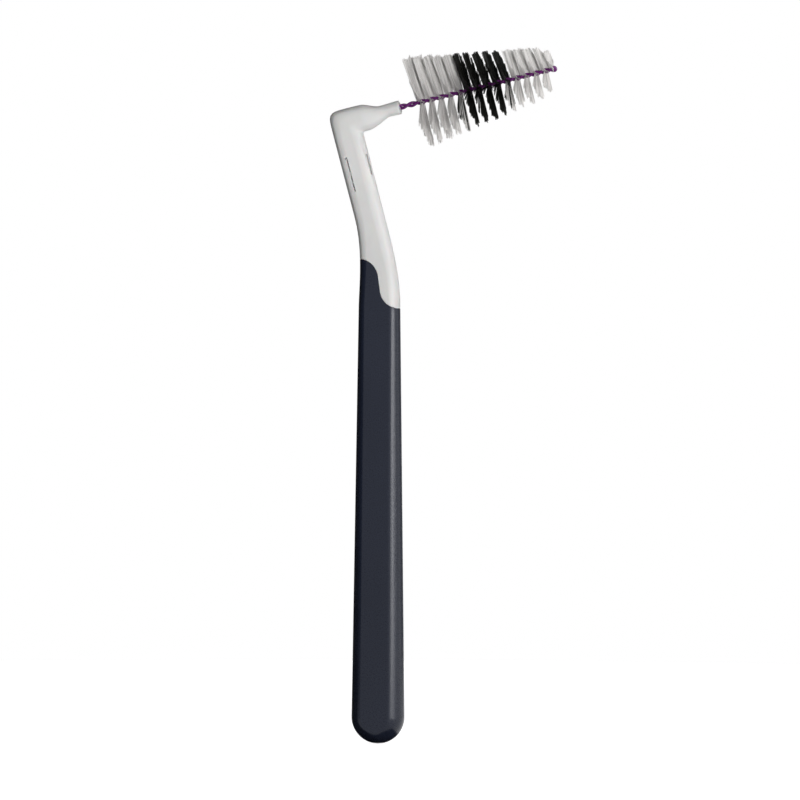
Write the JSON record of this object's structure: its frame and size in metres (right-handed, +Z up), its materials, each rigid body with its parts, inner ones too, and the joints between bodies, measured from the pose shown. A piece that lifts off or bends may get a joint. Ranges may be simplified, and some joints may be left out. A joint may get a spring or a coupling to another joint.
{
  "type": "interdental brush",
  "caption": "Long-handled interdental brush with an angled neck and a conical twisted-wire head in three bands of filaments.",
  "frame": {"origin": "middle of the handle's rounded butt end", "axes": "+Z up the handle towards the head, +X the side that the head points to, Y through the flats of the grip"},
  "size_m": [0.0391, 0.0159, 0.1173],
  "materials": {
    "grip": "satin dark navy elastomer",
    "core": "satin white polypropylene",
    "wire": "drawn stainless wire",
    "wire_coating": "thin purple coating",
    "white_filaments": "white nylon",
    "black_filaments": "black nylon"
  },
  "bodies": {
    "root": {"grip_sleeve": "grip", "neck_core": "core", "wire": "wire", "wire_coating": "wire_coating", "base_filaments": "white_filaments", "middle_filaments": "black_filaments", "tip_filaments": "white_filaments"}
  },
  "joints": []
}
